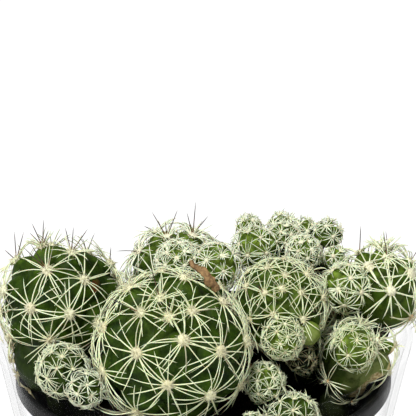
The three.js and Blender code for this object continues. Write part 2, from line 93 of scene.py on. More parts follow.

# %% [markdown]
# ## The heads as numbers
# A real head is close to a ball that is a little longer below than above. Here each one is two
# half ellipsoids. "at" is the middle in millimetres, "radius" reaches the tips of the cones, "top"
# and "bottom" are half heights over the radius, and "lean" is the way the head grows.
# The areoles of a cactus follow a spiral: each new one is about 137.5 degrees on from the last,
# the same golden angle that sunflower seeds keep. Two more numbers set how fast the spiral opens.
# "age" is 1 for a deep green old head and 0 for a fresh yellow-green one.
# A living head is never quite regular, so "moved" lists spots that an areole of the spiral is moved
# to, "added" lists spots for one more, and "spurs" lists spots where the skin is drawn out, with the
# height and width of each. "netted" heads carry more and closer areoles than their solid has cones,
# "bare" ones are old and nearly spineless, "dry" ones are dead, and "lowest" is how far down the
# side the areoles go. One number darkens the skin: it is painted shade on heads that sit in the
# shade of bigger ones, and it stands for old, dead skin on the dry offset. "lush" is how stout and
# woolly its spines and pads are. One more turns spines and pads from cream to white, partly for
# paler spines and partly as a painted highlight on the upper heads.

# %% List the heads
HEADS = [
    dict(node="head_front", at=(-6, -21, 75.3), radius=14.8, lean=(-0.03, -0.44, 0.9), step=0.0363,
         first=0.05, spread=1.13, turn=-137.6, phase=297, stem=5, foot=(-6, -19), age=1, lush=0.85,
         white=0.1,
         moved=[(-8.2, -27.2, 88.5), (-2.2, -29.4, 86.9), (-14.1, -20.6, 87.7), (-19.9, -19.2, 80),
                (-19, -27.9, 73.8), (-12.7, -31.1, 66.7)], added=[(-6.5, -30.9, 86.3)]),
    dict(node="head_left", at=(-28, -3, 76.9), radius=12.2, bottom=1.18, lean=(-0.13, 0.34, 0.93),
         step=0.0597, first=0.69, spread=1, turn=-137.5, phase=54, stem=4.2, foot=(-25.8, -5.6),
         age=0.9, lush=0.85, white=0.3,
         moved=[(-30.2, -9.8, 86.8), (-33.4, -13.4, 80.4), (-37.6, -9.8, 72.8), (-29.7, -15.3, 74.4),
                (-39, -6.4, 81.1), (-25.7, -5.3, 88.7), (-16.5, -3.1, 81), (-18.5, 0.1, 83.9)]),
    dict(node="head_back", at=(-5.4, 12, 76), radius=10, bottom=1.15, lean=(-0.05, -0.1, 1), step=0.05,
         phase=40, stem=4, foot=(-5, 11), age=0.75, lush=0.9, white=0.7),
    dict(node="head_middle_right", at=(15, -7, 78), radius=9.1, bottom=1.35, lean=(-0.02, -0.63, 0.78),
         step=0.0245, first=0.35, spread=1.3, turn=137.1, phase=108, stem=3.4, foot=(13, -3), age=0.8,
         lush=0.2, white=0.1),
    dict(node="head_right", at=(35.4, 4, 76.8), radius=8.4, bottom=1.12, lean=(0.12, 0.3, 0.95),
         step=0.0377, first=0.65, spread=1.35, turn=-138.5, phase=45, stem=3, foot=(24.5, 5.5),
         age=0.6, lush=1.2, white=0.4,
         moved=[(32.5, -0.3, 83.4), (30.7, 1.2, 71.3), (40.8, -1, 73.2), (40.9, 0.2, 81.9),
                (36.3, 1.2, 84.7)]),
    dict(node="head_low_right", at=(30.6, -8.4, 69.6), radius=6.5, top=0.72, bottom=1.77,
         lean=(0.47, 0.22, 1), phase=10, stem=2.8, foot=(23.5, -10.5), age=0.6,
         lowest=-0.98,
         spurs=[(37.2, -8.7, 70, 1.3, 2), (35.6, -10.8, 66.2, 0.8, 1.8), (31, -11.6, 60.7, 0.7, 1.8)],
         moved=[(34.4, -12.4, 73.3), (37.2, -8.7, 70), (35.6, -10.8, 66.2), (24.3, -12.9, 64.5),
                (31, -11.6, 60.7), (29, -12.2, 59.7)]),
    # This head sits deep between the others, and its high age partly stands for painted shade.
    dict(node="head_shadow", at=(20.4, 3.6, 61.2), radius=4.7, bottom=1.1, lean=(0, -0.3, 0.95),
         step=0.08, turn=-137.5, phase=80, stem=2.2, foot=(19.5, 2.2), age=0.9),
    dict(node="head_back_right", at=(17.5, 15, 73), radius=8.8, bottom=1.4, lean=(0.1, 0.1, 1),
         step=0.055, phase=0, stem=3.4, foot=(16, 13), age=0.7, lush=0.5, white=0.6),
    dict(node="head_rear_left", at=(-20.5, 18, 66), radius=8.1, lean=(-0.25, 0.3, 0.92), step=0.06,
         turn=-137.5, phase=200, stem=3, foot=(-19, 16), age=0.8),
    dict(node="head_rear_middle", at=(-4, 29.8, 68.5), radius=8.3, lean=(0, 0.4, 0.92), step=0.06,
         phase=150, stem=3, foot=(-3.5, 26.5), age=0.8),
    dict(node="head_rear_right", at=(12.5, 27, 63.5), radius=6, bottom=1.1, lean=(0.2, 0.4, 0.9),
         step=0.075, turn=-137.5, phase=60, stem=2.4, foot=(11.5, 24.5), age=0.6),
    dict(node="head_inner_left", at=(-14.5, 3.5, 64), radius=6.5, lean=(-0.1, 0, 1), stem=2.5,
         foot=(-14.5, 3.5), age=0.8),
    # This offset and offset_front_right sit low under bigger heads: their full age and their darkening are
    # partly painted shade.
    dict(node="offset_left", at=(-26.9, -21.2, 70.6), radius=5.2, lean=(-0.2, -0.5, 0.85), stem=1.7,
         foot=(-20, -16), netted=1, age=1, dark=0.4, lush=0.25, white=0.4),
    dict(node="offset_front_middle", at=(11.6, -19.4, 67.2), radius=4, lean=(0.1, -0.45, 0.9), stem=1.6,
         foot=(11, -17.5), age=0.6, netted=1),
    dict(node="offset_front_right", at=(17, -22.2, 60.2), radius=5.6, lean=(0.15, -0.35, 0.93), stem=2,
         foot=(16.5, -21.5), age=1, dark=0.1, netted=1),
    dict(node="offset_front_low", at=(9.4, -28.6, 62.4), radius=2.6, lean=(0, -0.4, 0.9), stem=1.1,
         foot=(9, -27), age=0.5, netted=1),
    dict(node="offset_inner_middle", at=(3.4, -3, 64.6), radius=4.6, lean=(0.1, -0.1, 1), stem=1.8,
         foot=(3.4, -3), age=0.7),
    dict(node="offset_inner_rear", at=(5.5, 18.6, 62.3), radius=4.5, lean=(0, 0.1, 1), stem=1.8,
         foot=(5.5, 18.6), age=0.6),
    dict(node="offset_far_left", at=(-29, 10, 62.8), radius=4.2, lean=(-0.5, 0.2, 0.85), stem=1.6,
         foot=(-27.5, 9.5), age=0.5, netted=1),
    dict(node="offset_far_right", at=(27.4, 13, 62.8), radius=4.3, lean=(0.45, 0.2, 0.87), stem=1.6,
         foot=(26, 12.5), age=0.4),
    dict(node="offset_rear_left", at=(-14.6, 26.8, 61.5), radius=3.4, lean=(-0.3, 0.5, 0.8), stem=1.4,
         foot=(-13.8, 25), age=0.4),
    dict(node="offset_rear_right", at=(22.4, 20.9, 61.5), radius=3.8, lean=(0.4, 0.4, 0.85), stem=1.5,
         foot=(21, 19.5), age=0.3),
]
# Here too the darkening number is painted shade for offsets under bigger heads, and on the dry offset it also
# stands for dead skin.
OFFSETS = [
    dict(on="head_back", at=(2.4, -2.3, 84.2), radius=4.8, age=0.2),
    dict(on="head_back", at=(-5.1, -1.6, 85), radius=4.4, age=0.5, netted=1),
    dict(on="head_middle_right", at=(15.2, -18, 76), radius=4, age=0.6, netted=1),
    dict(on="head_middle_right", at=(18.9, -13.6, 69.8), radius=2.7, age=1, dark=0.8, dry=1),
    dict(on="head_right", at=(28.2, -1.6, 79.4), radius=4.8, age=0.4),
    dict(on="head_right", at=(28.8, 3, 70.4), radius=4.6, age=0.6),
    dict(on="head_low_right", at=(29.1, -15.8, 73.2), radius=4.3, age=0.4, lush=0.1, white=0.1,
         moved=[(28.6, -17, 77.3), (26.5, -18.1, 75.7), (29.5, -19, 76.1), (31.7, -19, 74.4),
                (27.8, -19.9, 73.3), (25.4, -15.6, 75.4), (32.3, -17.4, 75.6)]),
    dict(on="offset_left", at=(-22.6, -27, 69.7), radius=3.5, age=0.9, dark=0.4, white=0.6),
    dict(on="head_back_right", at=(10.4, 8, 83.6), radius=4.6, age=0),
    dict(on="head_back_right", at=(9.4, 19.6, 83.4), radius=2.6, age=0.3),
    dict(on="head_back_right", at=(25, 18, 82.6), radius=3, age=0.5),
    dict(on="head_back_right", at=(20.6, 20.6, 82.6), radius=2.3, age=0.5),
    dict(on="head_back_right", at=(16.2, 12.4, 83.8), radius=3.6, age=0.6, netted=1),
    dict(on="head_back_right", at=(19.9, 5.6, 84), radius=3.5, age=0.4, netted=1),
    dict(on="head_back_right", at=(16.2, 22.6, 82.4), radius=2.9, age=0.4),
    dict(on="head_back_right", at=(26.4, 9.6, 80.8), radius=2.6, age=0.1),
    dict(on="head_left", at=(-31.5, -10.2, 68.7), radius=5.8, bottom=1.56, lean=(-0.41, 0.39, 1),
         stem=2.6, foot=(-22.5, -10), age=1, dark=0.6, bare=1,
         added=[(-37.2, -10.9, 68.2), (-36.4, -11.9, 65.6), (-34.1, -13, 62.8), (-37.2, -10.2, 70)]),
    dict(on="head_middle_right", at=(20.3, -14, 75.4), radius=2.5, age=0.1, bare=1),
]
print(len(HEADS), "heads with a stem of their own,", len(OFFSETS), "offsets on older heads")

# %% [markdown]
# ## One head's own directions
# Each head needs its own "up" and "round", so that a spiral drawn on a plain ball can be laid on
# the leaning head. The same few formulas as in the solids are used, so that an areole falls on
# the tip of the solid's cone.

# %% Set out the heads
FRONT = np.array([0, -0.906, 0.423])
SOIL_Z = 54
STEM_DEPTH = 5
STEM_START = 0.86
STEM_FLARE = 1.15
OFFSET_UPTURN = 0.25
NECK_RADIUS = 0.34
NECK_SINK = 1.6
SMALL_RADIUS = 3.2
SMALL_STEP = 0.1
OFFSET_STEP = 0.075
PHASE_STEP = 73
NETTED_SHARE = 0.6
GROWN_RADIUS = 5.8


def unit(v):
    v = np.asarray(v, float)
    return v / np.linalg.norm(v, axis=-1, keepdims=True)


class Head:
    def __init__(self, place, index):
        spiral = dict(step=SMALL_STEP if place["radius"] < SMALL_RADIUS else OFFSET_STEP,
                      phase=PHASE_STEP * index, reach=1.6)
        if place.get("netted"):
            spiral["step"] *= NETTED_SHARE
        if "step" in place:
            spiral["reach"] = 1.72
        known = dict(top=1, bottom=1, first=0.4, spread=1.1, turn=137.5, netted=0, dry=0, bare=0,
                     dark=0, lush=0.3, white=0.3, moved=(), added=(), spurs=())
        known |= spiral | place
        self.__dict__.update(known)
        self.middle = np.array(self.at, float)
        self.axis = unit(self.lean)
        self.side = unit(np.cross(FRONT, self.axis))
        self.far = np.cross(self.axis, self.side)
        k = np.arange(200)
        cosine = 1 - self.step * (k + self.first) ** self.spread
        cosine = cosine[cosine > 1 - self.reach]
        turns = np.radians(self.phase + self.turn * np.arange(len(cosine)))
        sine = np.sqrt(1 - cosine ** 2)
        self.sites = np.stack([sine * np.cos(turns), sine * np.sin(turns), cosine], axis=1)
        for spot in self.moved:
            way = self.way_to(spot)
            self.sites[np.argmax(self.sites @ way)] = way
        if self.added:
            self.sites = np.concatenate([[self.way_to(spot) for spot in self.added], self.sites])
        self.spacing = self.radius * math.sqrt(4 * math.pi * 0.9 / len(cosine))
        self.grown = self.radius > GROWN_RADIUS
        self.lowest = known.get("lowest", -1 if self.bare else -0.62 if self.grown else -0.35)
        self.stem_top = self.middle - self.axis * self.radius * self.bottom * STEM_START

    def way_to(self, spot):
        """The direction of a spot, in the head's own frame"""
        offset = np.array(spot) - self.middle
        along = offset @ self.axis
        return unit([offset @ self.side, offset @ self.far, along / (self.top if along > 0 else self.bottom)])

    def skin(self, way, depth):
        """Points "depth" under the cones' tips, in directions of the head's own frame"""
        depth = np.broadcast_to(np.asarray(depth, float), way.shape[:-1])[..., None]
        half = self.radius * np.where(way[..., 2:] > 0, self.top, self.bottom) - depth
        flat = way[..., :1] * self.side + way[..., 1:2] * self.far
        return self.middle + flat * (self.radius - depth) + way[..., 2:] * half * self.axis

    def drawn_out(self, way, points):
        """Skin points, pulled out a little at the head's listed spurs"""
        for *spot, height, width in self.spurs:
            near = np.exp(-((points - spot) ** 2).sum(-1) / width ** 2)
            points = points + (height * near)[..., None] * self.outward(way)
        return points

    def outward(self, way):
        half = np.where(way[..., 2:] > 0, self.top, self.bottom)
        return unit(way[..., :1] * self.side + way[..., 1:2] * self.far + way[..., 2:] / half * self.axis)

    def clearance(self, points):
        """Roughly how far points are from the skin, negative inside it"""
        offset = points - self.middle
        along = offset @ self.axis
        across = np.sqrt(np.maximum(0, (offset ** 2).sum(-1) - along ** 2))
        half = self.radius * np.where(along > 0, self.top, self.bottom)
        return (np.hypot(across / self.radius, along / half) - 1) * self.radius

    def skin_towards(self, way):
        along = way @ self.axis
        half = self.top if along > 0 else self.bottom
        return self.middle + way * self.radius / math.hypot(math.sqrt(1 - along * along), along / half)


parents = []
for i, place in enumerate(HEADS):
    head = Head(place, i)
    head.on = head.node
    head.foot = np.array([*head.foot, SOIL_Z - STEM_DEPTH])
    parents.append(head)
offsets = []
for i, place in enumerate(OFFSETS):
    parent = next(head for head in parents if head.node == place["on"])
    away = unit(np.array(place["at"]) - parent.middle)
    grows = dict(lean=away + np.array([0, 0, OFFSET_UPTURN]), stem=NECK_RADIUS * place["radius"],
                 lush=parent.lush, white=parent.white)
    head = Head(grows | place, i)
    if "foot" in place:
        head.foot = np.array([*place["foot"], SOIL_Z - STEM_DEPTH])
    else:
        head.foot = parent.skin_towards(away) - away * NECK_SINK
    offsets.append(head)
heads = parents + offsets
print(sum(len(head.sites) for head in heads), "areoles on", len(heads), "heads")

# %% [markdown]
# ## A helper that gathers small shapes into one mesh
# A head carries hundreds of spines. One object for each would be slow and hard to handle, so
# points and triangles are gathered in a list first and become one mesh at the end. A few numbers
# are kept at each point, such as how old the skin is there. The materials read them by name.

# %% Gather points and triangles
class Shapes:
    """Triangles in millimetres for one piece, with named numbers at each point"""

    def __init__(self):
        self.points, self.triangles, self.marks, self.count = [], [], {}, 0

    def add(self, points, triangles, **marks):
        self.points.append(points)
        self.triangles.append(np.asarray(triangles) + self.count)
        for name, values in marks.items():
            self.marks.setdefault(name, []).append(np.broadcast_to(values, len(points)))
        self.count += len(points)

    def piece(self, name, material, slot):
        mesh = bpy.data.meshes.new(name)
        points = np.concatenate(self.points) * MM
        triangles = np.concatenate(self.triangles)
        mesh.vertices.add(len(points))
        mesh.vertices.foreach_set("co", points.ravel())
        mesh.loops.add(triangles.size)
        mesh.loops.foreach_set("vertex_index", triangles.ravel().astype(np.int32))
        mesh.polygons.add(len(triangles))
        mesh.polygons.foreach_set("loop_start", np.arange(len(triangles), dtype=np.int32) * 3)
        mesh.polygons.foreach_set("use_smooth", np.ones(len(triangles), bool))
        for mark, values in self.marks.items():
            layer = mesh.attributes.new(mark, "FLOAT", "POINT")
            layer.data.foreach_set("value", np.concatenate(values).astype(np.float32))
        mesh.update(calc_edges=True)
        mesh.materials.append(material)
        piece = bpy.data.objects.new(name, mesh)
        bpy.context.scene.collection.objects.link(piece)
        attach(piece, "root")
        tally[name] = len(triangles)
        return piece


tally = {}
chance = np.random.default_rng(12)

# %% [markdown]
# ## Materials from nodes
# Plant skin is never one flat colour. It is blotched, fresher at the crown and corky near the soil,
# and painted shade darkens the furrows between cones and, together with woody skin, the stems and
# undersides. Each of these is a soft mask, and the masks blend one colour into the next. A noise
# pattern in object coordinates makes the blotches, so they stay in place whatever the view is.

# %% Short names for shader nodes
class Finish:
    """One node material: every method adds a node and returns its output socket"""

    def __init__(self, name):
        self.material = bpy.data.materials.new(name)
        self.material.use_nodes = True
        self.tree = self.material.node_tree
        self.shader = self.tree.nodes["Principled BSDF"]

    def node(self, kind, **inputs):
        node = self.tree.nodes.new(kind)
        for name, value in inputs.items():
            self.put(node.inputs[name.replace("_", " ")], value)
        return node

    def put(self, socket, value):
        if isinstance(value, bpy.types.NodeSocket):
            self.tree.links.new(value, socket)
        else:
            socket.default_value = value

    def mark(self, name):
        node = self.node("ShaderNodeAttribute")
        node.attribute_name = name
        return node.outputs["Fac"]

    def place(self):
        return self.node("ShaderNodeTexCoord").outputs["Object"]

    def noise(self, size_mm, detail=3, roughness=0.55):
        node = self.node("ShaderNodeTexNoise", Vector=self.place(), Scale=1 / (size_mm * MM),
                         Detail=detail, Roughness=roughness)
        return node.outputs["Fac"]

    def specks(self, size_mm):
        node = self.node("ShaderNodeTexVoronoi", Vector=self.place(), Scale=1 / (size_mm * MM))
        return node.outputs["Distance"]

    def between(self, value, low, high, to_low=0, to_high=1):
        node = self.node("ShaderNodeMapRange")
        node.interpolation_type = "SMOOTHSTEP"
        for i, number in enumerate([value, low, high, to_low, to_high]):
            self.put(node.inputs[i], number)
        return node.outputs[0]

    def times(self, a, b):
        node = self.node("ShaderNodeMath")
        node.operation = "MULTIPLY"
        self.put(node.inputs[0], a)
        self.put(node.inputs[1], b)
        return node.outputs[0]

    def blend(self, share, a, b):
        node = self.tree.nodes.new("ShaderNodeMix")
        node.data_type = "RGBA"
        self.put(node.inputs[0], share)
        self.put(node.inputs[6], a)
        self.put(node.inputs[7], b)
        return node.outputs[2]

    def bump(self, height, depth_mm, strength=1.0, under=None):
        node = self.node("ShaderNodeBump", Strength=strength, Distance=depth_mm * MM, Height=height)
        if under is not None:
            self.put(node.inputs["Normal"], under)
        return node.outputs["Normal"]

    def finish(self, **inputs):
        for name, value in inputs.items():
            self.put(self.shader.inputs[name.replace("_", " ")], value)
        return self.material


def colour(red, green, blue):
    """A colour as a picture editor shows it, 0 to 255, turned into light"""
    channels = [c / 255 for c in (red, green, blue)]
    return (*[c / 12.92 if c < 0.04 else ((c + 0.055) / 1.055) ** 2.4 for c in channels], 1)


# %% [markdown]
# ## The skin
# A grown head is deep bottle green, a fresh one nearly lime. The mark "age" blends between them,
# the furrow mark darkens the valleys as painted shade, "cork" turns a worn edge tan, the woody mark
# makes stems and undersides dull and dark, partly woody skin and partly painted shade, the fresh
# mark lights up a fresh patch, partly as painted light, and "scar" leaves the few brown scabs of the
# real plant. Real skin is waxy, so it has a soft broad shine and a very fine grain.

# %% Make the skin material
skin = Finish("cactus_skin")
blotch = skin.noise(2.6)
fine = skin.noise(0.5, detail=4)
old_green = skin.blend(skin.between(blotch, 0.3, 0.7), colour(20, 41, 2), colour(55, 81, 11))
young_green = skin.blend(skin.between(blotch, 0.3, 0.7), colour(82, 110, 26), colour(122, 144, 50))
green = skin.blend(skin.between(skin.mark("age"), 0, 1), young_green, old_green)
green = skin.blend(skin.between(fine, 0.5, 0.8, 0, 0.16), green, colour(128, 150, 70))
# Painted shade: the furrows between the cones are darkened in the colour.
green = skin.blend(skin.between(skin.mark("furrow"), 0.6, 1, 0, 0.5), green, colour(12, 26, 2))
# The lime patch is partly fresh skin and partly painted light on the lit side of the low right head.
mottled = skin.times(skin.mark("lime"), skin.between(skin.noise(1.7), 0.35, 0.65, 0.45, 1.3))
green = skin.blend(skin.between(mottled, 0.05, 0.7, 0, 0.8), green, colour(132, 144, 80))
# The near black woody colour is partly old woody skin and partly painted shade on stems, undersides and heads
# in the shade.
woody = skin.blend(skin.between(skin.noise(1.4), 0.35, 0.65), colour(9, 15, 3), colour(28, 36, 10))
green = skin.blend(skin.between(skin.mark("woody"), 0.1, 0.9), green, woody)
corky = skin.blend(skin.between(skin.noise(0.7), 0.35, 0.65), colour(150, 126, 78), colour(222, 206, 156))
cork_edge = skin.times(skin.mark("cork"), skin.between(skin.noise(1.6), 0.2, 0.6, 0.4, 1))
green = skin.blend(skin.between(cork_edge, 0.25, 0.42), green, corky)
scab_edge = skin.times(skin.mark("scar"), skin.between(skin.noise(1.2), 0.25, 0.6, 0.3, 1.2))
green = skin.blend(skin.between(scab_edge, 0.25, 0.6), green, colour(120, 72, 34))
grain = skin.bump(fine, 0.05, under=skin.bump(blotch, 0.15))
skin_material = skin.finish(
    Base_Color=green, Roughness=skin.between(fine, 0.3, 0.7, 0.5, 0.66), Normal=grain,
    Subsurface_Weight=0.05, Subsurface_Scale=0.002)
skin.shader.inputs["Specular IOR Level"].default_value = 0.12
skin.shader.inputs["Subsurface Radius"].default_value = (0.6, 1, 0.3)
print("the skin material has", len(skin.tree.nodes), "nodes")

# %% [markdown]
# ## Spines, wool and the brown central spines
# The radial spines are glassy cream, with a warmer root. The wool is the same cream but dull and
# soft, so it gets a little sheen. A few central spines are foxy brown, and darken to their tips.
# One spine material reads a mark named "brown" and another named "along", so cream and
# brown spines can be in one mesh.

# %% Make the spine material
spine = Finish("spine")
streak = spine.noise(0.8, detail=2)
cream = spine.blend(spine.between(streak, 0.3, 0.7), colour(226, 232, 180), colour(244, 248, 206))
cream = spine.blend(spine.between(spine.mark("along"), 0, 0.35, 0.5, 0), cream, colour(220, 214, 150))
# Turning cream to white is partly paler spines and partly a painted highlight on the upper heads.
cream = spine.blend(spine.mark("white"), cream, colour(250, 252, 226))
cream = spine.blend(spine.mark("dull"), cream, colour(158, 150, 112))
foxy = spine.blend(spine.between(spine.mark("along"), 0, 0.6), colour(124, 86, 50), colour(50, 38, 32))
spine_material = spine.finish(
    Base_Color=spine.blend(spine.mark("brown"), cream, foxy), Roughness=0.42,
    Normal=spine.bump(streak, 0.03), Subsurface_Weight=0.15, Subsurface_Scale=0.0006)

# %% Make the wool material
wool = Finish("areole_wool")
tuft = wool.noise(0.22, detail=3)
fleece = wool.blend(wool.between(tuft, 0.35, 0.65), colour(216, 214, 164), colour(242, 243, 210))
# The same partly painted highlight whitens the wool of the upper heads.
fleece = wool.blend(wool.mark("white"), fleece, colour(250, 251, 226))
fleece = wool.blend(wool.mark("brown"), fleece, colour(172, 130, 80))
wool_material = wool.finish(
    Base_Color=fleece, Roughness=0.95, Normal=wool.bump(tuft, 0.12), Sheen_Weight=0.3,
    Sheen_Roughness=0.5)
wool.shader.inputs["Specular IOR Level"].default_value = 0.1
print("spines:", len(spine.tree.nodes), "nodes, wool:", len(wool.tree.nodes), "nodes")

# %% [markdown]
# ## Balls and rods
# Two plain forms make nearly everything on this plant: a ball of even triangles for flesh and wool,
# and a round rod that tapers along a curved line for stems, spines and hairs. All rods of a kind
# are made in one go with array arithmetic, because a loop over single rods would be slow.

# %% Make balls and rods
balls = {}


def fine_ball(level):
    if level not in balls:
        form = bmesh.new()
        bmesh.ops.create_icosphere(form, subdivisions=level, radius=1)
        points = np.array([v.co for v in form.verts])
        triangles = np.array([[v.index for v in f.verts] for f in form.faces])
        form.free()
        balls[level] = (points, triangles)
    return balls[level]


def tubes(lines, radii, sides, across):
    """Closed round tapering rods, all at once: lines (n, steps, 3), radii (n, steps)"""
    count, steps, _ = lines.shape
    along = unit(np.gradient(lines, axis=1))
    across = unit(np.cross(along, np.broadcast_to(across[:, None, :], lines.shape)))
    over = np.cross(along, across)
    turn = np.arange(sides) * 2 * math.pi / sides
    ring = (np.cos(turn)[:, None] * across[:, :, None, :] + np.sin(turn)[:, None] * over[:, :, None, :])
    points = lines[:, :, None, :] + radii[:, :, None, None] * ring
    index = np.arange(count * steps * sides).reshape(count, steps, sides)
    after = np.roll(index, -1, axis=2)
    a, b, c, d = index[:, :-1], after[:, :-1], after[:, 1:], index[:, 1:]
    walls = [np.stack(corner, axis=-1).reshape(-1, 3) for corner in ((a, b, c), (a, c, d))]
    ends = []
    for k in range(1, sides - 1):
        ends.append(np.stack([index[:, 0, 0], index[:, 0, k + 1], index[:, 0, k]], axis=1))
        ends.append(np.stack([index[:, -1, 0], index[:, -1, k], index[:, -1, k + 1]], axis=1))
    return points.reshape(-1, 3), np.concatenate(walls + ends)


print("a ball of level 3 has", len(fine_ball(3)[1]), "triangles")

# %% [markdown]
# ## The body of a head
# Sculpting forty heads by hand would take days and never repeat. Each body here starts as a fine
# ball of even triangles. For each point of the ball the two nearest areoles are found, and the
# ratio of those two distances says how far the point is from a cone's tip (0) to the furrow
# between two cones (1). The point is then pushed in by that amount.
# A stem runs from the underside of the head down into the soil.

# %% List the odd spots of the skin
SCARS = {
    "head_front": [((-11.6, -34.7, 74.3), 2.0)],
    "head_left": [((-20.5, -10, 83.6), 2.4), ((-19.3, -7.8, 83.9), 2.2)],
}
# Partly painted light: on the low right head these fresh patches also brighten its lit side.
FRESH_AND_LIT_SPOTS = {
    "head_middle_right": [((20.8, -16, 75), 4.5)],
    "head_low_right": [((33, -14, 66), 8), ((30, -14, 62), 7)],
}
# Painted shadow: this part of the low right head lies in the shadow of the heads above it, and is darkened in
# the colour.
SHADED_SPOTS = {
    "head_low_right": [((23.5, -13, 67), 8), ((23.5, -13, 61), 7)],
}
CORKY_SPOTS = {
    "head_low_right": [((36.8, -9, 68.8), 2.6), ((36.7, -9.6, 67.6), 2.8), ((36, -10.1, 66.3), 2.8),
                       ((35.2, -10.2, 64.8), 2.8), ((33.9, -12.7, 64.8), 2.4), ((32.7, -13.2, 63.8), 2.4),
                       ((31.3, -13.1, 62.3), 2.4), ((30, -13, 61.1), 2.4)],
    "head_left": [((-37.2, -10.9, 68.2), 1.3), ((-36.4, -11.9, 65.6), 1.2)],
}


def near_spots(points, head, spots):
    """1 at a listed spot of the head, falling to 0 at the spot's size"""
    mark = np.zeros(len(points))
    for place, size in spots.get(head.on, []):
        mark = np.maximum(mark, 1 - np.linalg.norm(points - place, axis=1) / size)
    return mark


print(sum(map(len, CORKY_SPOTS.values())), "corky spots,", sum(map(len, SCARS.values())), "scabs")

# %% Cover a head with cones
FURROW_DEPTH = 0.22
CONE_POWER = 1.5
BARE_SMOOTH = 0.55


def add_body(shapes, head):
    level = 7 if head.radius > 13 else 6 if head.radius > 9 else 5 if head.radius > 3.3 else 4
    ways, triangles = fine_ball(level)
    angles = np.arccos(np.clip(ways @ head.sites.T, -1, 1))
    near = np.sort(angles, axis=1)[:, :2]
    furrow = 2 * near[:, 0] / near.sum(axis=1)
    last = math.acos(head.sites[-1, 2])
    below = np.clip((np.arccos(ways[:, 2]) - last) / 0.35, 0, 1)
    furrow = furrow * (1 - BARE_SMOOTH * head.bare)
    depth = FURROW_DEPTH * head.spacing * (furrow ** CONE_POWER * (1 - below) + 0.75 * below)
    points = head.drawn_out(ways, head.skin(ways, depth))
    fresh = 0.35 * np.clip((ways[:, 2] - 0.6) / 0.4, 0, 1)
    # Darker towards the bottom of the head, partly woody old skin and partly painted shade, raised further by
    # the head's painted shade and the listed shaded spots.
    woody = np.clip((-ways[:, 2] - 0.6) / 0.4, 0, 1) * (1 - head.bare)
    woody = np.maximum(np.maximum(woody, head.dark), near_spots(points, head, SHADED_SPOTS))
    shapes.add(points, triangles, furrow=furrow * (1 - below), age=np.clip(head.age - fresh, 0, 1),
               woody=woody, cork=near_spots(points, head, CORKY_SPOTS),
               scar=near_spots(points, head, SCARS), lime=near_spots(points, head, FRESH_AND_LIT_SPOTS))


# %% Give a head its stem
STEM_SIDES = 20


def add_stem(shapes, head):
    line = np.stack([head.stem_top * (1 - s) + head.foot * s for s in (-0.1, 0.15, 0.3, 0.65, 1)])
    widths = head.stem * np.array([0.8, 1.1, STEM_FLARE, 1.05, 1])
    points, triangles = tubes(line[None], widths[None], STEM_SIDES, head.side[None])
    # The whole stem takes the dark woody colour, partly woody skin and partly painted shade.
    shapes.add(points, triangles, furrow=0.3, woody=1, cork=0, age=head.age, scar=0, lime=0)


# %% Make the flesh of every head
for parent in parents:
    flesh = Shapes()
    for head in [parent] + [offset for offset in offsets if offset.on == parent.node]:
        add_body(flesh, head)
        add_stem(flesh, head)
    piece = flesh.piece(parent.node + "_flesh", skin_material, "cactus_skin")
    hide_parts(parent.node)
print(sum(tally.values()), "triangles of skin")

# %% [markdown]
# ## Spines
# One spine is a thin rod that tapers to a point and curves back a little to the skin. Hair
# particles would be quick, but they don't keep their form when a model is exported, so each
# spine is a real closed rod.
# A spine that would run into another head or through a pot's wall is first raised and then
# shortened, and is left out where neither helps.

# %% Measure the room around a spine
OUTER_HEIGHT = 70
OUTER_RIM_RADIUS = 41.6
TAPER = 0.21
OUTER_WALL = 1.3
LIP_Z = 62.3
LIP_RADIUS = 37.5
BOX_MARGIN = 0.02
low_corner, high_corner = (np.array(corner) / MM for corner in cad_box)
room = BOX_MARGIN * (high_corner - low_corner)


def is_free(lines, head):
    """Which lines stay clear of other heads, of both pots and of the soil, and inside the size"""
    points = lines[:, 2:]
    free = np.ones(len(lines), bool)
    for other in heads:
        if other is not head:
            free &= (other.clearance(points) > 0.15).all(axis=1)
    across = np.hypot(points[..., 0], points[..., 1])
    wall = np.abs(across - (OUTER_RIM_RADIUS - OUTER_WALL / 2 - TAPER * (OUTER_HEIGHT - points[..., 2])))
    free &= ((wall > OUTER_WALL / 2 + 0.2) | (points[..., 2] > OUTER_HEIGHT + 0.2)).all(axis=1)
    free &= ((across < LIP_RADIUS - 1.4) | (points[..., 2] > LIP_Z + 0.2)).all(axis=1)
    free &= (points[..., 2] > SOIL_Z).all(axis=1)
    free &= ((points > low_corner - room) & (points < high_corner + room)).all(axis=(1, 2))
    return free


print("spines may pass the CAD box by", [round(c, 1) for c in room], "mm")

# %% Bend the spines and keep those that fit
def spine_lines(root, out, way, length, rise, droop, sway, steps):
    """Curved middle lines: out and way are unit vectors at each root"""
    t = np.linspace(0, 1, steps)[None, :, None]
    length, rise, droop, sway = (np.asarray(v)[:, None, None] for v in (length, rise, droop, sway))
    aside = np.cross(out, way)[:, None, :]
    out, way = out[:, None, :], way[:, None, :]
    return (root[:, None, :] + way * length * np.cos(rise) * t
            + out * length * (np.sin(rise) * t - droop * t ** 2) + aside * length * sway * t ** 2)


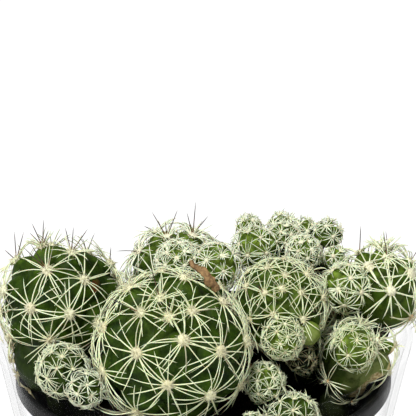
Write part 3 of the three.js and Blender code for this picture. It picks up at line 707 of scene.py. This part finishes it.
def add_spines(shapes, head, root, out, way, length, rise, droop, thick, **marks):
    steps, sides = (7, 4) if head.grown else (5, 3)
    sway = chance.normal(0, 0.13, len(root))
    best = spine_lines(root, out, way, length, rise, droop, sway, steps)
    left = ~is_free(best, head)
    for lift, share in ((18, 1), (34, 1), (52, 0.9), (20, 0.65), (45, 0.6), (62, 0.5)):
        if not left.any():
            break
        other = spine_lines(root, out, way, length * share, rise + math.radians(lift), droop, sway, steps)
        better = left & is_free(other, head)
        best[better] = other[better]
        left &= ~better
    keep = ~left
    taper = np.interp(np.linspace(0, 1, steps), [0, 0.12, 0.6, 0.88, 1], [1.1, 1, 0.9, 0.65, 0.15])
    radii = thick[keep, None] * taper / 2
    points, triangles = tubes(best[keep], radii, sides, out[keep])
    along = np.tile(np.repeat(np.linspace(0, 1, steps), sides), keep.sum())
    marks = {name: np.repeat(np.broadcast_to(values, len(root))[keep], steps * sides)
             for name, values in marks.items()}
    shapes.add(points, triangles, along=along, **marks)


# %% [markdown]
# ## Stars of radial spines
# The radial spines of one areole spread flat, like the spokes of a wheel, and lie close over the
# skin. At the crown they still stand up in a tuft, since they open as the head grows. Old heads
# have stouter and longer ones. A little chance in each number keeps two stars from being alike.

# %% Set out the stars
def stars(head):
    """Roots, normals and spread ways for all radial spines of a head"""
    count = round(12 + 4 * head.lush + 2 * head.lush * (head.radius < 9))
    sites = head.sites[:len(head.added)] if head.bare else head.sites
    sites = sites[sites[:, 2] > head.lowest]
    tips = head.drawn_out(sites, head.skin(sites, 0))
    for other in heads:
        if other is not head:
            shown = other.clearance(tips) > 0.2
            sites, tips = sites[shown], tips[shown]
    out = head.outward(sites)
    first = unit(np.cross(out, head.axis + 0.01 * head.side))
    second = np.cross(out, first)
    turn = chance.uniform(0, 2 * math.pi, len(sites))[:, None] + np.arange(count) * 2 * math.pi / count
    turn = turn + chance.normal(0, 0.17, turn.shape)
    way = np.cos(turn)[..., None] * first[:, None] + np.sin(turn)[..., None] * second[:, None]
    return sites, tips, out, way.reshape(-1, 3), count


def add_head_spines(shapes, head):
    sites, tips, out, way, count = stars(head)
    rank = np.repeat(np.arange(len(sites)), count)
    out_each, tip_each = np.repeat(out, count, axis=0), np.repeat(tips, count, axis=0)
    young = np.exp(-rank / 3.0)
    full = min(head.spacing, 8.2)
    length = full * (1 - 0.4 * young) * chance.uniform(0.75, 1.1, len(rank)) * (1 - 0.3 * head.bare)
    rise = np.radians(chance.uniform(6, 18, len(rank)) + 34 * young)
    stray = np.where(chance.uniform(size=len(rank)) < 0.15, chance.uniform(0.3, 1.5, len(rank)), 0)
    hover = (chance.uniform(0.1, 0.9, len(rank)) + stray) * (1 if head.grown else 0.5) + 0.6 * length * young
    droop = length / (2 * head.radius) + np.sin(rise) - hover / length
    thick = (0.17 + 0.06 * head.lush + 0.02 * head.grown) * chance.uniform(0.8, 1.2, len(rank))
    root = tip_each + way * (0.3 if head.grown else 0.15) - out_each * 0.1
    worn = head.dry or head.bare
    dull = np.clip(worn * 0.8 + 0.5 * (sites[rank, 2] < -0.3) * chance.uniform(0, 1, len(rank)), 0, 1)
    tan = np.where(chance.uniform(size=len(rank)) < 0.03, chance.uniform(0.3, 0.7, len(rank)), 0)
    add_spines(shapes, head, root, out_each, way, length, rise, droop, thick, brown=tan, dull=dull,
               white=head.white)
    return sites, tips, out


# %% [markdown]
# ## Central spines
# A few stout brown spines stand straight out of the middle of a star. They show best against the
# sky, so those are listed one by one, by the areole that they grow from, their length, and their
# tilt to the right in degrees. The rest are left to chance.

# %% Add the central spines
LONG_SPINES = {
    "head_left": [(3, 5.6, -4), (3, 5.8, 14), (3, 3.2, -48), (5, 6.6, -46), (5, 6, -32), (0, 5, -25),
                  (0, 5.2, 2), (0, 3.2, 20), (2, 5, -14), (2, 5, 4), (2, 5.6, 34), (7, 3.4, 5)],
    "head_back": [(0, 6, -30), (0, 6, 21), (0, 3.2, -5), (1, 6.8, 5), (1, 4.8, -14), (2, 2.8, -65),
                  (4, 4, 40)],
    "head_right": [(3, 5.4, 3), (2, 5, -8), (2, 3, 30)],
    "head_front": [(1, 6.9, -16), (3, 6.8, -64), (0, 3.4, 3)],
}


def add_central_spines(shapes, head, sites, tips, out):
    """Straight brown spines that stand up from the younger areoles of a grown head"""
    picked = np.flatnonzero((np.arange(len(sites)) < 8) & (chance.uniform(size=len(sites)) < 0.3))
    if not len(picked):
        return
    out, root = out[picked], tips[picked]
    way = unit(np.cross(out, chance.normal(size=(len(picked), 3))))
    length = min(0.9 * head.spacing, 6) * chance.uniform(0.6, 1, len(picked))
    rise = np.radians(chance.uniform(50, 80, len(picked)))
    add_spines(shapes, head, root, out, way, length, rise, np.zeros(len(picked)),
               np.full(len(picked), 0.17), brown=1.0, dull=0.0, white=0.0)


def add_long_spines(shapes, head):
    """The listed spines: each is straight, and leans in the plane that faces the front"""
    listed = np.array(LONG_SPINES[head.on])
    site = head.sites[listed[:, 0].astype(int)]
    tilt = np.radians(listed[:, 2:])
    way = np.sin(tilt) * np.array([1, 0, 0]) + np.cos(tilt) * np.array([0, FRONT[2], -FRONT[1]])
    out = unit(np.cross(way, FRONT))
    still = np.zeros(len(listed))
    add_spines(shapes, head, head.skin(site, 0), out, way, listed[:, 1], still, still,
               np.full(len(listed), 0.2), brown=1.0, dull=0.0, white=0.0)


print(sum(map(len, LONG_SPINES.values())), "long central spines")

# %% [markdown]
# ## Wool pads
# At the foot of each star is a small cushion of felt. A flattened ball is pushed about with a bit
# of chance for a lumpy pad, and short curled hairs break up its outline.

# %% Make the wool
def add_wool(shapes, head, tips, out, sites):
    ball_points, triangles = fine_ball(3 if head.grown else 2)
    size = 1.08 if head.radius > 11 else 0.6 + 0.45 * head.lush if head.grown else 0.3 + 0.2 * head.lush
    for i, (tip, normal) in enumerate(zip(tips, out)):
        first = unit(np.cross(normal, head.axis + 0.01 * head.side))
        second = np.cross(normal, first)
        wide = size * chance.uniform(0.8, 1.05) * (1 - 0.45 * np.clip(-1.5 * sites[i, 2], 0, 1))
        lumps = 1 + chance.normal(0, 0.13, len(ball_points))
        pad = ball_points * lumps[:, None] * [wide, wide, wide * 0.55]
        points = tip + pad[:, :1] * first + pad[:, 1:2] * second + (pad[:, 2:] + 0.05) * normal
        brown = max(chance.uniform(0, 0.3), np.clip(-0.2 - 2 * sites[i, 2], 0, 0.9))
        shapes.add(points, triangles, brown=brown, white=head.white)


def add_hairs(shapes, head, tips, out):
    count = 44 if head.radius > 11 else 18
    root, normal = np.repeat(tips, count, axis=0), np.repeat(out, count, axis=0)
    way = unit(np.cross(normal, chance.normal(size=normal.shape)))
    length = chance.uniform(1.2, 2.1, len(root)) * (1 if head.radius > 11 else 0.8)
    rise = np.radians(chance.uniform(10, 80, len(root)))
    droop = chance.uniform(0.1, 0.5, len(root))
    lines = spine_lines(root, normal, way, length, rise, droop, chance.normal(0, 0.3, len(root)), 4)
    radii = np.tile([0.08, 0.07, 0.06, 0.02], (len(root), 1))
    points, triangles = tubes(lines, radii, 3, normal)
    shapes.add(points, triangles, brown=0.1, white=head.white)


# %% Grow spines and wool on every head
for parent in parents:
    spines, wool_pads = Shapes(), Shapes()
    for head in [parent] + [offset for offset in offsets if offset.on == parent.node]:
        sites, tips, out = add_head_spines(spines, head)
        add_wool(wool_pads, head, tips, out, sites)
        if head.grown:
            add_central_spines(spines, head, sites, tips, out)
            add_hairs(wool_pads, head, tips, out)
    if parent.node in LONG_SPINES:
        add_long_spines(spines, parent)
    spines.piece(parent.node + "_spines", spine_material, "spine")
    wool_pads.piece(parent.node + "_wool", wool_material, "spine")
print(sum(tally.values()), "triangles with spines and wool")

# %% [markdown]
# ## The two pots
# Both pots are moulded round forms, so a profile that is turned about the middle gives them. The
# solids have 36 sides, which would show as flats in a glossy wall, so the same profiles are turned
# again with many more. The clear pot is thin clear plastic: light goes straight through it, and
# only its edges catch a grey line. The plant pot is soft black plastic with a rolled lip.

# %% Turn the pots
POT_SIDES = 144
OUTER_FLOOR = 4
FOOT_ROUND = 2.5
LIP_HEIGHT = 3.4
LIP_OVERHANG = 2.6
POT_WALL = 1.2
POT_FLOOR = 1.5
DRAIN_RADIUS = 5
POT_FLOOR_GAP = 0.3


def arc(r, z, radius, start, stop, steps):
    angles = np.radians(np.linspace(start, stop, steps + 1))
    return [(r + radius * math.cos(a), z + radius * math.sin(a)) for a in angles]


def turned(profile, closed):
    """A profile of (radius, height) turned about the middle, listed so that the outside faces out"""
    profile = np.array(profile)
    turn = np.arange(POT_SIDES) * 2 * math.pi / POT_SIDES
    points = np.stack([
        profile[:, :1] * np.cos(turn), profile[:, :1] * np.sin(turn),
        np.repeat(profile[:, 1:], POT_SIDES, axis=1)], axis=-1).reshape(-1, 3)
    index = np.arange(len(profile) * POT_SIDES).reshape(len(profile), POT_SIDES)
    after = np.roll(index, -1, axis=1)
    upper = np.roll(index, -1, axis=0) if closed else index[1:]
    upper_after = np.roll(after, -1, axis=0) if closed else after[1:]
    rows = len(upper)
    a, b, c, d = index[:rows], after[:rows], upper_after, upper
    triangles = [np.stack(corner, axis=-1).reshape(-1, 3) for corner in ((a, b, c), (a, c, d))]
    return points, np.concatenate(triangles)


def outer_radius(z):
    return OUTER_RIM_RADIUS - TAPER * (OUTER_HEIGHT - z)


def pot_radius(z):
    return LIP_RADIUS - LIP_OVERHANG - TAPER * (LIP_Z - LIP_HEIGHT - z)


print("outer pot is", round(2 * outer_radius(0)), "mm wide below and", 2 * OUTER_RIM_RADIUS, "mm above")

# %% Draw both profiles
outer_lip = OUTER_WALL / 2
clear_profile = [
    (0.01, 0), (10, 0),
    *arc(outer_radius(FOOT_ROUND) - FOOT_ROUND, FOOT_ROUND, FOOT_ROUND, -90, -12, 8),
    *[(outer_radius(z), z) for z in np.linspace(6, 66, 11)],
    *arc(OUTER_RIM_RADIUS - outer_lip, OUTER_HEIGHT - outer_lip, outer_lip, 0, 180, 10),
    *[(outer_radius(z) - OUTER_WALL, z) for z in np.linspace(66, OUTER_FLOOR + FOOT_ROUND, 11)],
    (outer_radius(OUTER_FLOOR) - OUTER_WALL - FOOT_ROUND, OUTER_FLOOR),
    (10, OUTER_FLOOR), (0.01, OUTER_FLOOR),
]
base = OUTER_FLOOR + POT_FLOOR_GAP
under_lip = LIP_Z - LIP_HEIGHT
pot_lip = POT_WALL / 2
pot_profile = [
    (DRAIN_RADIUS, base), (pot_radius(base) - 1, base),
    *arc(pot_radius(base + 1) - 1, base + 1, 1, -80, -12, 5),
    *[(pot_radius(z), z) for z in np.linspace(8, under_lip - 0.3, 12)],
    (pot_radius(under_lip) + 0.25, under_lip), (LIP_RADIUS - 0.5, under_lip),
    *arc(LIP_RADIUS - 0.4, under_lip + 0.4, 0.4, -80, 0, 4),
    *arc(LIP_RADIUS - pot_lip, LIP_Z - pot_lip, pot_lip, 0, 180, 8),
    *arc(LIP_RADIUS - POT_WALL - 0.5, under_lip + POT_WALL + 0.5, 0.5, 0, -80, 3),
    *[(pot_radius(z) - POT_WALL, z) for z in np.linspace(under_lip, base + POT_FLOOR, 12)],
    (DRAIN_RADIUS, base + POT_FLOOR),
]
print(len(clear_profile), "points in the clear profile,", len(pot_profile), "in the black one")

# %% [markdown]
# ## Plastic
# Thin clear plastic bends light twice, once back again, so what stands behind it isn't moved. It
# is see-through where it faces you, and turns grey where you look along it, at its outline.
# A mask that depends on that slant sets how solid it is. The black plastic is never clean: soil
# dust dulls it in clouds, and fine scuffs from handling run round the lip.

# %% Make the clear plastic
clear = Finish("clear_plastic")
haze = clear.noise(9, detail=3)
slant = clear.node("ShaderNodeLayerWeight", Blend=0.5).outputs["Facing"]
band = clear.between(slant, 0.66, 0.86, 0.004, 0.2)
line = clear.times(clear.between(slant, 0.88, 0.97), clear.between(clear.mark("rim"), 0, 1, 1, 0.12))
milky = clear.blend(clear.between(haze, 0.3, 0.7), colour(150, 152, 152), colour(186, 188, 187))
clear_material = clear.finish(
    Base_Color=clear.blend(line, milky, colour(104, 106, 108)), Alpha=clear.between(line, 0, 1, band, 0.75),
    Roughness=clear.between(haze, 0.4, 0.8, 0.06, 0.14))

# %% Make the black plastic
black = Finish("black_plastic")
dust = black.noise(7, detail=5)
scuffs = black.noise(0.9, detail=3)
black_material = black.finish(
    Base_Color=black.blend(black.between(dust, 0.45, 0.75, 0, 0.35), colour(13, 14, 14), colour(52, 50, 45)),
    Roughness=black.between(dust, 0.3, 0.7, 0.45, 0.65),
    Normal=black.bump(scuffs, 0.03, under=black.bump(dust, 0.1)))
black.shader.inputs["Specular IOR Level"].default_value = 0.18

# %% Turn both pots
clear_pot = Shapes()
points, triangles = turned(clear_profile, closed=False)
clear_pot.add(points, triangles, rim=np.clip(points[:, 2] - (OUTER_HEIGHT - 2), 0, 1))
piece = clear_pot.piece("clear_cup", clear_material, "clear_plastic")
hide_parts("clear_pot")

plant_pot = Shapes()
plant_pot.add(*turned(pot_profile, closed=True))
piece = plant_pot.piece("black_pot", black_material, "black_plastic")
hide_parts("plant_pot")
print("pots:", tally["clear_cup"], "and", tally["black_pot"], "triangles")

# %% [markdown]
# ## Soil
# Potting soil is a lumpy mass of peat with bark chips and white perlite grains. A disc of fine
# rings is lifted and lowered with a few waves for the lie of the soil, and loose crumbs of many
# sizes are strewn over it. The crumbs carry a mark "pale" that turns a few of them into perlite.

# %% Lay the soil
SOIL_RINGS = 46
SOIL_SIDES = 120
SOIL_EDGE_DROP = 2.5
TOUCH_GAP = 0.3
soil_floor = base + POT_FLOOR + TOUCH_GAP


def soil_height(x, y):
    share = np.hypot(x, y) / pot_radius(SOIL_Z)
    waves = (np.sin(x * 0.41 + 1.3) * np.cos(y * 0.37) * 0.35 + np.sin(x * 1.3) * np.sin(y * 1.1 + 2) * 0.2
             + np.sin(x * 2.9 + y * 1.7) * np.sin(y * 3.1 - x) * 0.12)
    return SOIL_Z - 0.5 - SOIL_EDGE_DROP * np.clip(share, 0, 1) ** 4 + waves * np.clip(3 - 3 * share, 0, 1)


soil_edge = pot_radius(SOIL_Z - SOIL_EDGE_DROP) - POT_WALL - TOUCH_GAP
floor_edge = pot_radius(soil_floor) - POT_WALL - 2 * TOUCH_GAP
turn = np.arange(SOIL_SIDES) * 2 * math.pi / SOIL_SIDES
layers = []
for r in [0.05, floor_edge, *np.linspace(soil_edge, 0.05, SOIL_RINGS)]:
    x, y = r * np.cos(turn), r * np.sin(turn)
    z = np.full(SOIL_SIDES, soil_floor) if len(layers) < 2 else soil_height(x, y)
    layers.append(np.stack([x, y, z], axis=1))
layers = np.stack(layers)
index = np.arange(len(layers) * SOIL_SIDES).reshape(len(layers), SOIL_SIDES)
after = np.roll(index, -1, axis=1)
soil_faces = [np.stack([index[:-1], after[:-1], after[1:]], axis=-1).reshape(-1, 3),
              np.stack([index[:-1], after[1:], index[1:]], axis=-1).reshape(-1, 3)]

# %% Make the soil material and the bed
soil = Finish("potting_soil")
peat = soil.noise(1.4, detail=5)
fibres = soil.noise(0.35, detail=3)
earth = soil.blend(soil.between(peat, 0.35, 0.7), colour(20, 14, 9), colour(52, 38, 26))
earth = soil.blend(soil.between(fibres, 0.62, 0.8, 0, 0.6), earth, colour(92, 74, 50))
earth = soil.blend(soil.mark("pale"), earth, colour(208, 204, 190))
soil_material = soil.finish(Base_Color=earth, Roughness=0.95, Normal=soil.bump(
    peat, 0.5, under=soil.bump(fibres, 0.2)))
soil.shader.inputs["Specular IOR Level"].default_value = 0.2

bed = Shapes()
bed.add(layers.reshape(-1, 3), np.concatenate(soil_faces), pale=0.0)
piece = bed.piece("soil_bed", soil_material, "potting_soil")
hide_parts("soil")
print("soil bed:", tally["soil_bed"], "triangles, edge at", round(soil_edge, 1), "mm")

# %% Strew crumbs and perlite
CRUMBS = 800
crumbs = Shapes()
grain_points, grain_triangles = fine_ball(2)
for _ in range(CRUMBS):
    r = soil_edge * math.sqrt(chance.uniform(0, 0.98))
    angle = chance.uniform(0, 2 * math.pi)
    x, y = r * math.cos(angle), r * math.sin(angle)
    size = chance.uniform(0.25, 0.7) if chance.uniform() < 0.85 else chance.uniform(0.7, 1.3)
    pale = float(chance.uniform() < 0.07)
    form = grain_points * chance.uniform(0.65, 1.2, (len(grain_points), 1)) * chance.uniform(0.6, 1.1, 3)
    spin = unit(chance.normal(size=3))
    other = unit(np.cross(spin, [0.3, 0.5, 0.8]))
    form = form @ np.stack([spin, other, np.cross(spin, other)])
    crumbs.add(form * size + [x, y, soil_height(x, y) + 0.3 * size], grain_triangles, pale=pale)
crumbs.piece("soil_crumbs", soil_material, "potting_soil")
print(CRUMBS, "crumbs")

# %% [markdown]
# ## The dried flower
# One spent flower still hangs on the front head: a papery brown tube that has shrivelled flat and
# twisted. It is lofted from a few cross-sections along the same bent line as its solid, each
# a squashed ring with pleats.

# %% Bend the flower's line
FLOWER_PATH = np.array([[2.5, -23.4, 88.4], [1.4, -23.5, 90.5], [-0.6, -22.6, 92.4], [-2.7, -21.4, 93.5]])
FLOWER_WIDTHS = [0.55, 0.95, 0.62, 0.36]
FLOWER_THICKNESS = 0.34
FLOWER_RINGS = 26
FLOWER_SIDES = 28


def smooth_path(points, values, count):
    """Points and widths along a path, eased between the listed ones"""
    t = np.linspace(0, len(points) - 1, count)
    low = np.clip(t.astype(int), 0, len(points) - 2)
    share = t - low
    before, after = np.clip(low - 1, 0, None), np.clip(low + 2, None, len(points) - 1)
    p = points[np.stack([before, low, low + 1, after])]
    s = share[:, None]
    line = 0.5 * (2 * p[1] + (p[2] - p[0]) * s + (2 * p[0] - 5 * p[1] + 4 * p[2] - p[3]) * s ** 2
                  + (3 * p[1] - p[0] - 3 * p[2] + p[3]) * s ** 3)
    return line, np.interp(t, np.arange(len(points)), values)


print("flower:", len(FLOWER_PATH), "listed points eased into", FLOWER_RINGS)

# %% Loft the dried flower
line, widths = smooth_path(FLOWER_PATH, FLOWER_WIDTHS, FLOWER_RINGS)
along = unit(np.gradient(line, axis=0))
across = unit(np.cross(along, FRONT))
over = np.cross(along, across)
turn = np.arange(FLOWER_SIDES) * 2 * math.pi / FLOWER_SIDES
pleats = 1 + 0.16 * np.sin(turn * 5) + 0.1 * np.sin(turn * 11 + 1)
twist = np.linspace(0, 1.5, FLOWER_RINGS)[:, None]
crumple = np.arange(FLOWER_RINGS)
widths = widths * (1 + 0.13 * np.sin(crumple * 0.9) + 0.08 * np.sin(crumple * 2.3 + 1))
line = line + (0.16 * np.sin(crumple * 0.55) + 0.07 * np.sin(crumple * 1.7))[:, None] * across
wide = np.cos(turn + twist) * pleats * widths[:, None]
thin = np.sin(turn + twist) * pleats * FLOWER_THICKNESS
points = line[:, None] + wide[..., None] * across[:, None] + thin[..., None] * over[:, None]
index = np.arange(FLOWER_RINGS * FLOWER_SIDES).reshape(FLOWER_RINGS, FLOWER_SIDES)
after = np.roll(index, -1, axis=1)
faces = [np.stack([index[:-1], after[:-1], after[1:]], axis=-1).reshape(-1, 3),
         np.stack([index[:-1], after[1:], index[1:]], axis=-1).reshape(-1, 3)]
for k in range(1, FLOWER_SIDES - 1):
    faces.append(np.array([[index[0, 0], index[0, k + 1], index[0, k]]]))
    faces.append(np.array([[index[-1, 0], index[-1, k], index[-1, k + 1]]]))

# %% Make the papery material and the flower
papery = Finish("dried_petal")
veins = papery.noise(0.3, detail=4)
stain = papery.noise(0.9)
brown = papery.blend(papery.between(stain, 0.3, 0.7), colour(96, 68, 36), colour(166, 132, 86))
brown = papery.blend(papery.between(veins, 0.5, 0.8, 0, 0.6), brown, colour(76, 50, 28))
papery_material = papery.finish(Base_Color=brown, Roughness=0.75, Normal=papery.bump(veins, 0.12))

flower = Shapes()
flower.add(points.reshape(-1, 3), np.concatenate(faces))
piece = flower.piece("dried_flower_tube", papery_material, "dried_petal")
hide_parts("dried_flower")
print(sum(tally.values()), "triangles in all, most in", max(tally, key=tally.get), max(tally.values()))

# %% [markdown]
# ## Floor and light
# The photograph has a plain white ground and soft light from above. A pale floor and a bright
# even sky give the white, one large lamp from the upper left gives the heads their
# round shading, and the gaps between the heads stay dark.

# %% Set the floor, sky and lamp
FLOOR_HALF = 3.0
floor_mesh = bpy.data.meshes.new("floor")
floor_mesh.from_pydata(
    [(-FLOOR_HALF, -FLOOR_HALF, 0), (FLOOR_HALF, -FLOOR_HALF, 0),
     (FLOOR_HALF, FLOOR_HALF, 0), (-FLOOR_HALF, FLOOR_HALF, 0)], [], [(0, 1, 2, 3)])
paper = Finish("pale_floor")
paper_grain = paper.noise(30)
floor_mesh.materials.append(paper.finish(
    Base_Color=paper.blend(paper_grain, colour(247, 247, 247), colour(250, 250, 250)), Roughness=0.9))
floor = bpy.data.objects.new("floor", floor_mesh)
bpy.context.scene.collection.objects.link(floor)

world = bpy.data.worlds.new("sky")
bpy.context.scene.world = world
world.use_nodes = True
world.node_tree.nodes["Background"].inputs["Color"].default_value = (1, 1, 1, 1)
world.node_tree.nodes["Background"].inputs["Strength"].default_value = 0.1


def lamp(name, turned_down, turned_round, softness, strength):
    """A far lamp, as wide in the sky as a large soft box, whose light falls evenly on the floor"""
    light = bpy.data.lights.new(name, "SUN")
    light.angle = math.radians(softness)
    light.energy = strength
    holder = bpy.data.objects.new(name, light)
    bpy.context.scene.collection.objects.link(holder)
    holder.rotation_euler = (math.radians(turned_down), 0, math.radians(turned_round))


lamp("key_lamp", 30, -28, 24, 3.9)
print("one lamp and an even sky")
bpy.context.scene.view_settings.view_transform = "Standard"
